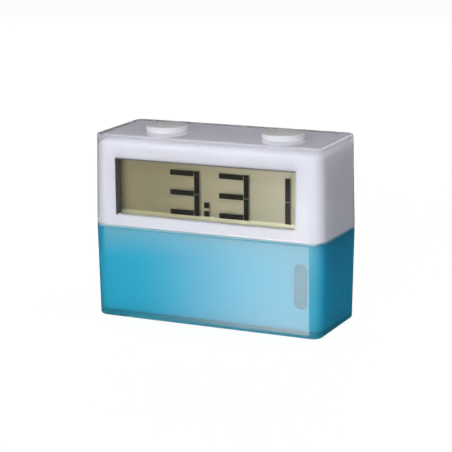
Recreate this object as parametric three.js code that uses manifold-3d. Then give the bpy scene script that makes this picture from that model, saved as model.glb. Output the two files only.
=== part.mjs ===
import * as THREE from "three";
import { mergeVertices } from "three/addons/utils/BufferGeometryUtils.js";
import Module from "manifold-3d";

const wasm = await Module();
wasm.setup();

// Water clock: a white clock head in a clear cover, standing on a blue water tank in a clear shell.
// Two zinc and copper cells hang from the head into the tank and drive the display.
// Millimetres, +Z up, the front faces -Y, the origin lies under the middle of the tank.

// Display window and the case around it
const windowWidth = 75.2;
const windowHeight = 22.35;
const windowSide = 9.9; // from the window to the side of the case, at the split
const windowSill = 4.3; // from the split up to the window
const windowBrow = 9.05; // from the window up to the top of the case
const windowCorner = 0.6;
const caseDepth = 37.5;
const tankHeight = 36;
const splitGap = 0.3; // open line between tank and head
const cornerRadius = 4.7; // at the split; it shrinks with the draft, so its edges stay upright
const innerCorner = 1.2; // least corner radius of the inner walls
const sideDraft = 1; // each side leans in by this much, away from the split
const faceDraft = 0.35; // front and back lean in by this much
const footRadius = 1.2;
const rimRadius = 0.5;

// Clearances
const fitGap = 0.3; // between nested, tapered or turned faces
const seatGap = 0.15; // between flat faces that rest on each other
const overcut = 1; // cutting bodies run past the faces that they open by this much

// Tank
const shellWall = 1.6;
const shellFloor = 2.3;
const linerWall = 1.2;
const linerDrop = 0.5; // the liner's rim lies this far under the shell's rim
const dividerThickness = 1.6;
const dividerGap = 0.4; // from the divider up to the tray
const sightWidth = 5.5;
const sightHeight = 17;
const sightSide = 8.85; // from the side of the case to the middle of the level window
const sightSill = 11.05; // from the foot up to the level window
const sightLip = 0.9; // the window's inner flange is wider by this much all round
const sightLipThickness = 0.8;

// Head cover and housing
const coverWall = 1.6;
const coverRoof = 2;
const housingWall = 1.5;
const housingRoof = 1.6;
const housingEdge = 2.5; // soft upper edge of the white housing
const housingFoot = 0.2; // the housing's rim lies this far above the cover's rim
const ribThickness = 1.5;
const ribOverlap = 2; // how far a rib reaches behind the circuit board

// Display stack, from the front to the back
const lensThickness = 0.9;
const lensMargin = 1.5; // above and below the window
const displayMargin = 0.8; // left and right of the window
const glassThickness = 0.8;
const contactLedge = 2.9; // the front glass stands up past the rear glass
const reflectorThickness = 0.3;
const frameThickness = 2;
const frameBar = 2.5;
const frameBlock = 3.4; // corner blocks that take the board screws
const boardThickness = 1.4;
const zebraHeight = 2.3;

// Clock parts on the back of the circuit board
const partsRow = 6.6; // height of their middles above the board's lower edge
const chipRadius = 5.8;
const chipHeight = 1.8;
const capacitor = { radius: 4, length: 11.5, x: -16 };
const crystal = { radius: 1.5, length: 8, x: 14 };

// Buttons, switches and their board
const buttonRadius = 8.2;
const buttonSpacing = 48.6;
const buttonProud = 2;
const buttonTravel = 1;
const buttonRoof = 2;
const buttonSkirt = 1.6;
const buttonEdge = 0.7;
const buttonRim = 0.9;
const buttonDish = 0.25;
const earWidth = 2.6;
const earReach = 1.9; // how far an ear reaches under the edge of its hole
const earThickness = 1.4;
const stemRadius = 2;
const stemStop = 0.2; // left between stem and switch when the button is down
const switchSide = 6;
const switchHeight = 3.4;
const plungerRadius = 1.7;
const plungerHeight = 0.9;
const springRadius = 5; // to the middle of the wire
const springWire = 0.6;
const springTurns = 6;
const keyBoardThickness = 1.2;
const keyBoardMargin = 1.2; // past the springs
const postLength = 8.45;
const postRadius = 2.4;
const ribbonWidth = 14;
const ribbonThickness = 0.4;
const ribbonBend = 3.8;
const ribbonTail = 2; // straight stretch at each end of the ribbon

// Tray that closes the head and plugs into the tank
const trayDepth = 5.5; // below the split
const trayToLens = 0.8;
const trayPlay = 0.4; // round the tray, to the narrower of liner and housing
const trayWall = 2.2;
const trayFloor = 2;
const sealHeight = 1.8;
const sealRise = 1.9; // from the tray's underside up to the seal
const grooveDepth = 1.2;
const towerRadius = 2.7;
const towerGap = 0.8; // from the circuit board to the front towers
const bossRadius = 3.4;
const bossHeight = 2;

// Electrodes, their link and their leads
const plateThickness = 1;
const plateMargin = 2.4; // from a plate's edges to the liner
const plateLift = 2.85; // from the liner's floor up to the plates
const plateCorner = 2;
const dividerToPlate = 5.2;
const tabWidth = 8;
const tabMiddle = 5;
const sleeveWall = 1.2;
const sleeveHeight = 2.5;
const tabRise = 0.5; // the tab's broad part stands this far out of its sleeve
const lugWidth = 3;
const lugHeight = 3.4;
const linkThickness = 0.6;
const linkWidth = 7;
const linkRise = 1.4; // from the tab's shoulder up to the link
const linkEnd = 2.5;
const leadRadius = 0.7;
const leadInset = 5; // a lead meets the board this far inside its plate
const leadRise = 5.2; // above the circuit board's lower edge

// Screws
const baseScrew = { head: 2.1, headHeight: 1.2, shank: 1.1, length: 10 };
const boardScrew = { head: 1.7, headHeight: 1.1, shank: 0.8, length: 3 };
const keyScrew = { head: 1.9, headHeight: 1.2, shank: 0.9, length: 5.5 };
const screwGap = 0.15; // round a shank, in what it holds and in what it bites into
const pilotSpare = 0.6; // left beyond a screw's tip

// Facets
const cornerSteps = 6;
const edgeSteps = 4;
const roundSides = 20;
const smallSides = 12;
const buttonSides = 40;
const softSteps = 8; // in each quarter turn of an extruded outline
const fineSteps = 2; // the same on small corners

// The case, worked out from the window
const caseWidth = windowWidth + 2 * windowSide;
const headHeight = windowSill + windowHeight + windowBrow;
const headRise = tankHeight + splitGap; // the head's own frame starts at the split
const windowTop = windowSill + windowHeight;
const linerInset = shellWall + fitGap;
const linerInnerInset = linerInset + linerWall;
const linerFoot = shellFloor + seatGap;
const linerFloorTop = linerFoot + linerWall;
const housingInset = coverWall + fitGap;
const housingInnerInset = housingInset + housingWall;
const housingTop = headHeight - coverRoof - fitGap;
const housingCeiling = housingTop - housingRoof;

// A rounded rectangle at one height of the case, set in from its outer face
function section(z, fromSplit, height, inset) {
  const share = fromSplit / height;
  return {
    z,
    x: caseWidth / 2 - sideDraft * share - inset,
    y: caseDepth / 2 - faceDraft * share - inset,
    r: Math.max(cornerRadius - sideDraft * share - inset, innerCorner),
  };
}

const tankSection = (z, inset) => section(z, tankHeight - z, tankHeight, inset);
const headSection = (z, inset) => section(z, z, headHeight, inset);

// The display stack, worked out from the housing's front wall
const lensBottom = windowSill - lensMargin;
const lensTop = windowTop + lensMargin;
const displayHalf = windowWidth / 2 + displayMargin;
const lensFront = seatGap - headSection(lensTop, housingInnerInset).y;
const frontGlassFront = lensFront + lensThickness + seatGap;
const rearGlassFront = frontGlassFront + glassThickness + seatGap;
const reflectorFront = rearGlassFront + glassThickness + seatGap;
const frameFront = reflectorFront + reflectorThickness + seatGap;
const boardFront = frameFront + frameThickness + seatGap;
const boardRear = boardFront + boardThickness;
const rearGlassTop = windowTop + seatGap;
const boardBottom = lensBottom + seatGap;
const boardTop = rearGlassTop + contactLedge;
const boardHalf = headSection(boardTop, housingInnerInset).x - 2 * fitGap;
const partsHeight = boardBottom + partsRow;

// The tray, straight-sided, with its outline taken at its foot
const trayRise = lensBottom - trayToLens;
const trayInset = Math.max(linerInnerInset, housingInnerInset) + trayPlay;
const traySection = (z, inset) => ({ ...tankSection(headRise - trayDepth, trayInset + inset), z });
const trayFloorTop = trayFloor - trayDepth;
const bossTop = trayFloorTop + bossHeight;
const towerFoot = bossTop + seatGap;
const towerX = traySection(0, trayWall).x - fitGap - towerRadius;
const towerRows = [boardRear + towerGap + towerRadius, traySection(0, trayWall).y - fitGap - towerRadius];
const towers = [-1, 1].flatMap((side) => towerRows.map((y) => ({ x: side * towerX, y })));
const sealFoot = sealRise - trayDepth;
const baseScrewSeat = baseScrew.headHeight + seatGap - trayDepth; // under the screw heads

// The plates and their tabs
const plateFoot = linerFloorTop + plateLift - headRise;
const plateShoulder = -trayDepth - seatGap;
const plateHalf = tankSection(plateFoot + headRise, linerInnerInset).y - plateMargin;
const sleeveHalf = plateThickness / 2 + seatGap + sleeveWall;
const innerPlateX = dividerThickness / 2 + dividerToPlate + plateThickness / 2;
const outerPlateX = towerX - towerRadius - 2 * fitGap - sleeveHalf;
const plateRows = [-outerPlateX, -innerPlateX, innerPlateX, outerPlateX];
const sleeveTop = trayFloorTop + sleeveHeight;
const tabTop = sleeveTop + tabRise;
const lugTop = tabTop + lugHeight;
const linkFoot = tabTop + linkRise;

// The buttons and what lies under them
const buttonX = buttonSpacing / 2;
const holeRadius = buttonRadius + fitGap;
const buttonTop = headHeight + buttonProud;
const buttonRoofUnder = buttonTop - buttonRoof;
const skirtFoot = boardTop + buttonTravel + fitGap;
const earTop = housingCeiling - fitGap;
const earFoot = earTop - earThickness;
const earTip = holeRadius + earReach;
const postFoot = housingCeiling - postLength;
const keyBoardTop = postFoot - seatGap;
const keyBoardFoot = keyBoardTop - keyBoardThickness;
const switchFoot = keyBoardTop + seatGap;
const stemFoot = switchFoot + switchHeight + plungerHeight + buttonTravel + stemStop;
const springReach = springRadius + springWire / 2 + keyBoardMargin;
const keyBoardHalf = buttonX + springReach;
const postX = buttonX - earTip - postRadius - fitGap;

// Geometry helpers

// The corners of a rounded rectangle, anticlockwise from its right side
function ring({ x, y, z, r }) {
  const points = [];
  for (let corner = 0; corner < 4; corner += 1) {
    const middleX = (corner === 0 || corner === 3 ? 1 : -1) * (x - r);
    const middleY = (corner < 2 ? 1 : -1) * (y - r);
    for (let step = 0; step <= cornerSteps; step += 1) {
      const angle = ((corner + step / cornerSteps) * Math.PI) / 2;
      points.push(middleX + r * Math.cos(angle), middleY + r * Math.sin(angle), z);
    }
  }
  return points;
}

// A closed body through rounded rectangles that are listed from the lowest to the highest
function loft(sections) {
  const count = 4 * (cornerSteps + 1);
  const index = [];
  for (let level = 0; level + 1 < sections.length; level += 1) {
    for (let step = 0; step < count; step += 1) {
      const a = level * count + step;
      const b = level * count + ((step + 1) % count);
      index.push(a, b, b + count, a, b + count, a + count);
    }
  }
  const top = (sections.length - 1) * count;
  for (let step = 1; step + 1 < count; step += 1) {
    index.push(0, step + 1, step, top, top + step, top + step + 1);
  }
  const geometry = new THREE.BufferGeometry();
  geometry.setAttribute("position", new THREE.Float32BufferAttribute(sections.flatMap(ring), 3));
  geometry.setIndex(index);
  return geometry;
}

// Sections that round off an end of a body; inward is +1 at a foot and -1 at a top
function roundedEnd(sectionAt, end, radius, inset, inward) {
  const sections = [];
  for (let step = 0; step <= edgeSteps; step += 1) {
    const angle = ((step / edgeSteps) * Math.PI) / 2;
    const along = radius * (1 - Math.cos(angle));
    const aside = radius * (1 - Math.sin(angle));
    sections.push(sectionAt(end + inward * along, inset + aside));
  }
  return inward > 0 ? sections : sections.reverse();
}

// A closed geometry as a solid that can be joined and cut
function solid(geometry) {
  const bare = geometry.clone();
  bare.deleteAttribute("normal");
  bare.deleteAttribute("uv");
  const merged = mergeVertices(bare, 1e-4);
  const corners = merged.index.array;
  const kept = [];
  for (let i = 0; i < corners.length; i += 3) {
    const [a, b, c] = corners.slice(i, i + 3);
    if (a !== b && b !== c && c !== a) kept.push(a, b, c);
  }
  const vertProperties = new Float32Array(merged.attributes.position.array);
  return new wasm.Manifold(new wasm.Mesh({ numProp: 3, vertProperties, triVerts: new Uint32Array(kept) }));
}

function geometryOf(body) {
  const mesh = body.getMesh();
  const geometry = new THREE.BufferGeometry();
  geometry.setAttribute("position", new THREE.BufferAttribute(mesh.vertProperties, 3));
  geometry.setIndex(new THREE.BufferAttribute(mesh.triVerts, 1));
  geometry.computeVertexNormals();
  return geometry;
}

function block(x0, x1, y0, y1, z0, z1) {
  const geometry = new THREE.BoxGeometry(x1 - x0, y1 - y0, z1 - z0);
  return geometry.translate((x0 + x1) / 2, (y0 + y1) / 2, (z0 + z1) / 2);
}

// An upright cylinder
function rod(radius, x, y, z0, z1, sides = roundSides) {
  const geometry = new THREE.CylinderGeometry(radius, radius, z1 - z0, sides).rotateX(Math.PI / 2);
  return geometry.translate(x, y, (z0 + z1) / 2);
}

// A body turned round an upright axis from a profile of (radius, height) points
function turned(profile, sides = roundSides) {
  const points = profile.map(([radius, height]) => new THREE.Vector2(radius, height));
  return new THREE.LatheGeometry(points, sides).rotateX(Math.PI / 2);
}

function roundedRectangle(left, right, low, high, radius) {
  const shape = new THREE.Shape();
  shape.absarc(right - radius, low + radius, radius, -Math.PI / 2, 0);
  shape.absarc(right - radius, high - radius, radius, 0, Math.PI / 2);
  shape.absarc(left + radius, high - radius, radius, Math.PI / 2, Math.PI);
  shape.absarc(left + radius, low + radius, radius, Math.PI, (3 * Math.PI) / 2);
  shape.closePath();
  return shape;
}

function rectangle(left, right, low, high) {
  const corners = [[left, low], [right, low], [right, high], [left, high]];
  return new THREE.Shape(corners.map(([x, y]) => new THREE.Vector2(x, y)));
}

function roundHole(x, y, radius) {
  return new THREE.Path().absarc(x, y, radius, 0, 2 * Math.PI, true);
}

// An arc has twice as many steps as its curveSegments
function extruded(shape, depth, steps = fineSteps) {
  return new THREE.ExtrudeGeometry(shape, { depth, bevelEnabled: false, curveSegments: steps / 2 });
}

// A shape drawn as (x, z) on the front, as thick as from front to rear
function upright(shape, front, rear, steps) {
  return extruded(shape, rear - front, steps).rotateX(Math.PI / 2).translate(0, rear, 0);
}

// A shape drawn as (y, z) on the side, as thick as from left to right
function sideways(shape, left, right, steps) {
  const turn = new THREE.Matrix4().makeBasis(
    new THREE.Vector3(0, 1, 0),
    new THREE.Vector3(0, 0, 1),
    new THREE.Vector3(1, 0, 0),
  );
  return extruded(shape, right - left, steps).applyMatrix4(turn).translate(left, 0, 0);
}

// A round bar along a curve
function bar(curve, radius, steps, sides) {
  const round = new THREE.Shape().absarc(0, 0, radius, 0, 2 * Math.PI);
  const options = { extrudePath: curve, steps, curveSegments: sides / 2, bevelEnabled: false };
  return new THREE.ExtrudeGeometry(round, options);
}

// An upright screw with its head at z = 0 and below, and its shank above
function screw({ head, headHeight, shank, length }) {
  const profile = [
    [0, -headHeight],
    [head - headHeight / 2, -headHeight],
    [head, -headHeight / 2],
    [head, 0],
    [shank, 0],
    [shank, length],
    [0, length],
  ];
  return turned(profile, smallSides);
}

const shankHole = (kind) => kind.shank + screwGap;

// Materials
const plastic = (color, roughness) => new THREE.MeshStandardMaterial({ color, roughness, metalness: 0 });
const metal = (color, roughness) => new THREE.MeshStandardMaterial({ color, roughness, metalness: 1 });

function clear(color, opacity) {
  return new THREE.MeshStandardMaterial({ color, roughness: 0.08, metalness: 0, transparent: true, opacity });
}

const materials = {
  clearBlue: clear(0x9fd6e6, 0.4),
  clearWhite: clear(0xf4f6fb, 0.3),
  clearPane: clear(0xe6ead8, 0.35),
  liner: plastic(0x2ba6d6, 0.45),
  housing: plastic(0xe3e5ef, 0.35),
  button: plastic(0xe6e8f2, 0.3),
  reflector: plastic(0xb4ad90, 0.5),
  darkPlastic: plastic(0x2b2c2e, 0.5),
  rubber: plastic(0x33363a, 0.8),
  board: plastic(0x2f6b3f, 0.55),
  ribbon: plastic(0xd8d2bc, 0.5),
  redWire: plastic(0xb5302a, 0.5),
  blackWire: plastic(0x232326, 0.5),
  steel: metal(0xb9bcc0, 0.35),
  zinc: metal(0x9da3a8, 0.45),
  copper: metal(0xb8713f, 0.35),
};

// Tank

function tankShell() {
  const outside = solid(loft([
    ...roundedEnd(tankSection, 0, footRadius, 0, 1),
    tankSection(tankHeight, 0),
  ]));
  const inside = solid(loft([
    tankSection(shellFloor, shellWall),
    tankSection(tankHeight + splitGap, shellWall),
  ]));
  return outside.subtract(inside);
}

const sightX = caseWidth / 2 - sightSide;

// The upright oblong of the level window, grown by a margin
function sightOutline(margin) {
  const half = sightWidth / 2 + margin;
  const low = sightSill - margin;
  return roundedRectangle(sightX - half, sightX + half, low, low + sightHeight + 2 * margin, half * 0.98);
}

function tankLiner() {
  const rim = tankHeight - linerDrop;
  const outside = solid(loft([tankSection(linerFoot, linerInset), tankSection(rim, linerInset)]));
  const inside = solid(loft([
    tankSection(linerFloorTop, linerInnerInset),
    tankSection(tankHeight, linerInnerInset),
  ]));
  const half = dividerThickness / 2;
  const dividerTop = headRise - trayDepth - dividerGap;
  const divider = solid(block(-half, half, -caseDepth / 2, caseDepth / 2, linerFoot, dividerTop));
  const slot = solid(upright(sightOutline(seatGap), -caseDepth / 2, -caseDepth / 4, softSteps));
  return outside.subtract(inside).add(divider.intersect(outside)).subtract(slot);
}

// A clear plug in the liner's slot, with a flange on the water side
function levelWindow() {
  const plugFront = seatGap - tankSection(sightSill, shellWall + fitGap / 2).y;
  const lipFront = seatGap - tankSection(sightSill - sightLip, linerInnerInset).y;
  const lipRear = lipFront + sightLipThickness;
  const plug = solid(upright(sightOutline(0), plugFront, lipRear, softSteps));
  return plug.add(solid(upright(sightOutline(sightLip), lipFront, lipRear, softSteps)));
}

// Head shells

function windowCut() {
  const half = windowWidth / 2;
  const outline = roundedRectangle(-half, half, windowSill, windowTop, windowCorner);
  return solid(upright(outline, -caseDepth, -caseDepth / 4));
}

function buttonHole(side) {
  const low = housingCeiling - overcut;
  return solid(rod(holeRadius, side * buttonX, 0, low, headHeight + overcut, buttonSides));
}

function headCover() {
  const outside = solid(loft([
    headSection(0, 0),
    ...roundedEnd(headSection, headHeight, rimRadius, 0, -1),
  ]));
  const inside = solid(loft([
    headSection(-splitGap, coverWall),
    ...roundedEnd(headSection, headHeight - coverRoof, housingEdge + fitGap, coverWall, -1),
  ]));
  const cuts = [inside, windowCut(), buttonHole(-1), buttonHole(1)];
  return cuts.reduce((body, cut) => body.subtract(cut), outside);
}

// White housing with screw towers, ribs behind the circuit board and posts for the key board
function headHousing() {
  const outside = solid(loft([
    headSection(housingFoot, housingInset),
    ...roundedEnd(headSection, housingTop, housingEdge, housingInset, -1),
  ]));
  const inside = solid(loft([
    headSection(-splitGap, housingInnerInset),
    ...roundedEnd(headSection, housingCeiling, housingEdge - seatGap, housingInnerInset, -1),
  ]));
  const roofMiddle = housingCeiling + housingRoof / 2;
  const ribFront = boardRear + seatGap;
  const ribFoot = trayRise + fitGap;
  const ribInner = boardHalf - ribOverlap;
  let body = outside.subtract(inside);
  for (const side of [-1, 1]) {
    const ends = [side * ribInner, (side * caseWidth) / 2].sort((a, b) => a - b);
    const rib = solid(block(...ends, ribFront, ribFront + ribThickness, ribFoot, roofMiddle));
    body = body.add(rib.intersect(outside));
    body = body.add(solid(rod(postRadius, side * postX, 0, postFoot, roofMiddle)));
  }
  for (const { x, y } of towers) {
    body = body.add(solid(rod(towerRadius, x, y, towerFoot, roofMiddle)));
  }
  for (const { x, y } of towers) {
    const pilotTop = baseScrewSeat + baseScrew.length + pilotSpare;
    body = body.subtract(solid(rod(shankHole(baseScrew), x, y, towerFoot - overcut, pilotTop, smallSides)));
  }
  for (const side of [-1, 1]) {
    const pilotTop = keyBoardFoot + keyScrew.length + pilotSpare;
    const pilot = rod(shankHole(keyScrew), side * postX, 0, postFoot - overcut, pilotTop, smallSides);
    body = body.subtract(solid(pilot)).subtract(buttonHole(side));
  }
  return body.subtract(windowCut());
}

// Display stack

function displayLens() {
  const outline = roundedRectangle(-displayHalf, displayHalf, lensBottom, lensTop, windowCorner);
  return upright(outline, lensFront, lensFront + lensThickness);
}

const pane = (front, thickness, top) =>
  block(-displayHalf, displayHalf, front, front + thickness, lensBottom, top);

const boardScrewX = displayHalf - (frameBar + frameBlock) / 2;
const boardScrewRows = [lensBottom, rearGlassTop].map(
  (edge, row) => edge + (row === 0 ? 1 : -1) * ((frameBar + frameBlock) / 2),
);
const boardScrews = [-1, 1].flatMap((side) => boardScrewRows.map((z) => ({ x: side * boardScrewX, z })));

// Spacer ring with a block at each corner for the board screws
function displayFrame() {
  const shape = rectangle(-displayHalf, displayHalf, lensBottom, rearGlassTop);
  const wide = displayHalf - frameBar;
  const narrow = wide - frameBlock;
  const low = lensBottom + frameBar;
  const high = rearGlassTop - frameBar;
  const quarter = [[narrow, low], [narrow, low + frameBlock], [wide, low + frameBlock]];
  const rightSide = [...quarter, ...quarter.map(([x, z]) => [x, low + high - z]).reverse()];
  const leftSide = rightSide.map(([x, z]) => [-x, z]).reverse();
  const opening = [...rightSide, ...leftSide].map(([x, z]) => new THREE.Vector2(x, z));
  shape.holes.push(new THREE.Path(opening));
  for (const { x, z } of boardScrews) shape.holes.push(roundHole(x, z, shankHole(boardScrew)));
  return upright(shape, frameFront, frameFront + frameThickness, smallSides);
}

function zebraStrip() {
  const half = displayHalf - frameBar;
  const low = rearGlassTop + (contactLedge - zebraHeight) / 2;
  return block(-half, half, rearGlassFront, boardFront - seatGap, low, low + zebraHeight);
}

function circuitBoard() {
  const shape = rectangle(-boardHalf, boardHalf, boardBottom, boardTop);
  for (const { x, z } of boardScrews) shape.holes.push(roundHole(x, z, shankHole(boardScrew)));
  return upright(shape, boardFront, boardRear, smallSides);
}

// A low dome of resin over the clock chip, facing backwards
function clockChip() {
  const dome = new THREE.EllipseCurve(0, 0, chipRadius, chipHeight, 0, Math.PI / 2).getPoints(6);
  dome[dome.length - 1].x = 0;
  const geometry = new THREE.LatheGeometry([new THREE.Vector2(0, 0), ...dome], roundSides);
  return geometry.translate(0, boardRear + seatGap, partsHeight);
}

// A can that lies along the board's back, with its edges turned in
function lyingCan({ radius, length, x }) {
  const edge = radius / 6;
  const nearEnd = [[0, 0], [radius - edge, 0], [radius, edge]];
  const farEnd = nearEnd.map(([r, along]) => [r, length - along]).reverse();
  const geometry = turned([...nearEnd, ...farEnd]).rotateY(Math.PI / 2);
  return geometry.translate(x - length / 2, boardRear + seatGap + radius, partsHeight);
}

// Buttons, switches and their board

// A cap with a thin skirt, a stem over the switch and two ears that catch under the housing's roof
function button() {
  const hollow = buttonRadius - buttonSkirt;
  const edge = new THREE.EllipseCurve(
    buttonRadius - buttonEdge, buttonTop - buttonEdge, buttonEdge, buttonEdge, 0, Math.PI / 2,
  ).getPoints(edgeSteps).map(({ x, y }) => [x, y]);
  const dishRadius = buttonRadius - buttonEdge - buttonRim;
  const dish = [1, 0.6, 0].map((share) => [dishRadius * share, buttonTop - buttonDish * (1 - share * share)]);
  let body = solid(turned([
    [0, stemFoot],
    [stemRadius, stemFoot],
    [stemRadius, buttonRoofUnder],
    [hollow, buttonRoofUnder],
    [hollow, skirtFoot],
    [buttonRadius, skirtFoot],
    ...edge,
    ...dish,
  ], buttonSides));
  const half = earWidth / 2;
  for (const side of [-1, 1]) {
    const reach = [side * hollow, side * earTip].sort((a, b) => a - b);
    const leg = [side * hollow, side * (buttonRadius - fitGap)].sort((a, b) => a - b);
    body = body.add(solid(block(...reach, -half, half, earFoot, earTop)));
    body = body.add(solid(block(...leg, -half, half, earFoot, skirtFoot + buttonSkirt)));
  }
  return body;
}

class Helix extends THREE.Curve {
  constructor(radius, turns, low, high) {
    super();
    Object.assign(this, { radius, turns, low, high });
  }

  getPoint(t) {
    const angle = 2 * Math.PI * this.turns * t;
    const height = this.low + (this.high - this.low) * t;
    return new THREE.Vector3(this.radius * Math.cos(angle), this.radius * Math.sin(angle), height);
  }
}

function buttonSpring() {
  const low = keyBoardTop + seatGap + springWire / 2;
  const high = buttonRoofUnder - seatGap - springWire / 2;
  return bar(new Helix(springRadius, springTurns, low, high), springWire / 2, springTurns * 8, 6);
}

function keySwitch() {
  const half = switchSide / 2;
  const top = switchFoot + switchHeight;
  const body = solid(block(-half, half, -half, half, switchFoot, top));
  return body.add(solid(rod(plungerRadius, 0, 0, top - plungerHeight, top + plungerHeight, smallSides)));
}

function keyBoard() {
  const front = Math.max(-springReach, boardRear + fitGap);
  const shape = rectangle(-keyBoardHalf, keyBoardHalf, front, springReach);
  for (const side of [-1, 1]) shape.holes.push(roundHole(side * postX, 0, shankHole(keyScrew)));
  return extruded(shape, keyBoardThickness, smallSides).translate(0, 0, keyBoardFoot);
}

// A flat ribbon that leaves the key board's underside and bends down to the circuit board's back
function keyRibbon() {
  const top = keyBoardFoot - seatGap;
  const face = boardRear + seatGap;
  const inner = ribbonBend - ribbonThickness;
  const middle = { y: face + ribbonBend, z: top - ribbonBend };
  const shape = new THREE.Shape();
  shape.moveTo(middle.y + ribbonTail, top);
  shape.absarc(middle.y, middle.z, ribbonBend, Math.PI / 2, Math.PI);
  shape.lineTo(face, middle.z - ribbonTail);
  shape.lineTo(face + ribbonThickness, middle.z - ribbonTail);
  shape.absarc(middle.y, middle.z, inner, Math.PI, Math.PI / 2, true);
  shape.lineTo(middle.y + ribbonTail, top - ribbonThickness);
  shape.closePath();
  return sideways(shape, -ribbonWidth / 2, ribbonWidth / 2, softSteps);
}

// Tray and cells

// Tray with a seal groove, four screw bosses and a sleeve for each electrode's tab
function headBase() {
  const outside = solid(loft([traySection(-trayDepth, 0), traySection(trayRise, 0)]));
  const inside = solid(loft([
    traySection(trayFloorTop, trayWall),
    traySection(trayRise + overcut, trayWall),
  ]));
  const grooveTop = sealFoot + sealHeight + seatGap;
  const belt = solid(loft([traySection(sealFoot - seatGap, -overcut), traySection(grooveTop, -overcut)]));
  const core = solid(loft([
    traySection(sealFoot - overcut, grooveDepth),
    traySection(grooveTop + overcut, grooveDepth),
  ]));
  let body = outside.subtract(inside).subtract(belt.subtract(core));
  for (const { x, y } of towers) {
    const boss = solid(rod(bossRadius, x, y, trayFloorTop - trayFloor / 2, bossTop));
    body = body.add(boss.intersect(core.add(inside)));
  }
  const slotFront = tabMiddle - tabWidth / 2 - seatGap;
  const slotRear = tabMiddle + tabWidth / 2 + seatGap;
  const slotHalf = plateThickness / 2 + seatGap;
  for (const x of plateRows) {
    const front = slotFront - sleeveWall;
    const rear = slotRear + sleeveWall;
    body = body.add(solid(block(x - sleeveHalf, x + sleeveHalf, front, rear, trayFloorTop, sleeveTop)));
  }
  for (const x of plateRows) {
    const low = -trayDepth - overcut;
    const slot = block(x - slotHalf, x + slotHalf, slotFront, slotRear, low, sleeveTop + overcut);
    body = body.subtract(solid(slot));
  }
  for (const { x, y } of towers) {
    const seat = baseScrewSeat + seatGap;
    body = body.subtract(solid(rod(baseScrew.head + fitGap, x, y, -trayDepth - overcut, seat)));
    body = body.subtract(solid(rod(shankHole(baseScrew), x, y, -trayDepth, bossTop + overcut, smallSides)));
  }
  return body;
}

function tankSeal() {
  const top = sealFoot + sealHeight;
  const outer = linerInnerInset + seatGap - trayInset;
  const inner = grooveDepth - seatGap;
  const outside = solid(loft([traySection(sealFoot, outer), traySection(top, outer)]));
  const inside = solid(loft([traySection(sealFoot - overcut, inner), traySection(top + overcut, inner)]));
  return outside.subtract(inside);
}

// An electrode: a broad plate with round lower corners, a tab for the sleeve and a narrow lug on top
function electrode(x) {
  const tabHalf = tabWidth / 2;
  const lugHalf = lugWidth / 2;
  const shape = new THREE.Shape();
  shape.absarc(plateHalf - plateCorner, plateFoot + plateCorner, plateCorner, -Math.PI / 2, 0);
  shape.lineTo(plateHalf, plateShoulder);
  shape.lineTo(tabMiddle + tabHalf, plateShoulder);
  shape.lineTo(tabMiddle + tabHalf, tabTop);
  shape.lineTo(tabMiddle + lugHalf, tabTop);
  shape.lineTo(tabMiddle + lugHalf, lugTop);
  shape.lineTo(tabMiddle - lugHalf, lugTop);
  shape.lineTo(tabMiddle - lugHalf, tabTop);
  shape.lineTo(tabMiddle - tabHalf, tabTop);
  shape.lineTo(tabMiddle - tabHalf, plateShoulder);
  shape.lineTo(-plateHalf, plateShoulder);
  shape.absarc(-plateHalf + plateCorner, plateFoot + plateCorner, plateCorner, Math.PI, (3 * Math.PI) / 2);
  shape.closePath();
  return sideways(shape, x - plateThickness / 2, x + plateThickness / 2, softSteps);
}

// The strip that joins the inner plates, with a slot for each lug
function cellLink() {
  const half = innerPlateX + linkEnd;
  const low = tabMiddle - linkWidth / 2;
  const outline = roundedRectangle(-half, half, low, low + linkWidth, windowCorner);
  const slotHalf = plateThickness / 2 + seatGap;
  const front = tabMiddle - lugWidth / 2 - seatGap;
  const rear = tabMiddle + lugWidth / 2 + seatGap;
  let strip = solid(extruded(outline, linkThickness).translate(0, 0, linkFoot));
  for (const x of [-innerPlateX, innerPlateX]) {
    strip = strip.subtract(solid(block(x - slotHalf, x + slotHalf, front, rear, tabTop, lugTop)));
  }
  return strip;
}

// A wire from an outer plate's lug, up and forwards to the back of the circuit board
function lead(side) {
  const lugFace = outerPlateX - plateThickness / 2 - fitGap;
  const height = lugTop - lugHeight / 3;
  const end = { x: outerPlateX - leadInset, y: boardRear + fitGap, z: boardBottom + leadRise };
  const points = [
    [lugFace, tabMiddle, height],
    [lugFace - 1.5, tabMiddle, height],
    [end.x - 0.5, (tabMiddle * 2 + end.y) / 3, (height * 2 + end.z) / 3],
    [end.x, end.y + 3, end.z],
    [end.x, end.y, end.z],
  ].map(([x, y, z]) => new THREE.Vector3(side * x, y, z));
  return bar(new THREE.CatmullRomCurve3(points), leadRadius, 12, 8);
}

// Assembly

function piece(group, name, material, shape) {
  const geometry = shape instanceof wasm.Manifold ? geometryOf(shape) : shape;
  const mesh = new THREE.Mesh(geometry, material);
  mesh.name = name;
  group.add(mesh);
  return mesh;
}

const tank = new THREE.Group();
piece(tank, "tank_shell", materials.clearBlue, tankShell());
piece(tank, "tank_liner", materials.liner, tankLiner());
piece(tank, "level_window", materials.clearPane, levelWindow());

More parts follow.
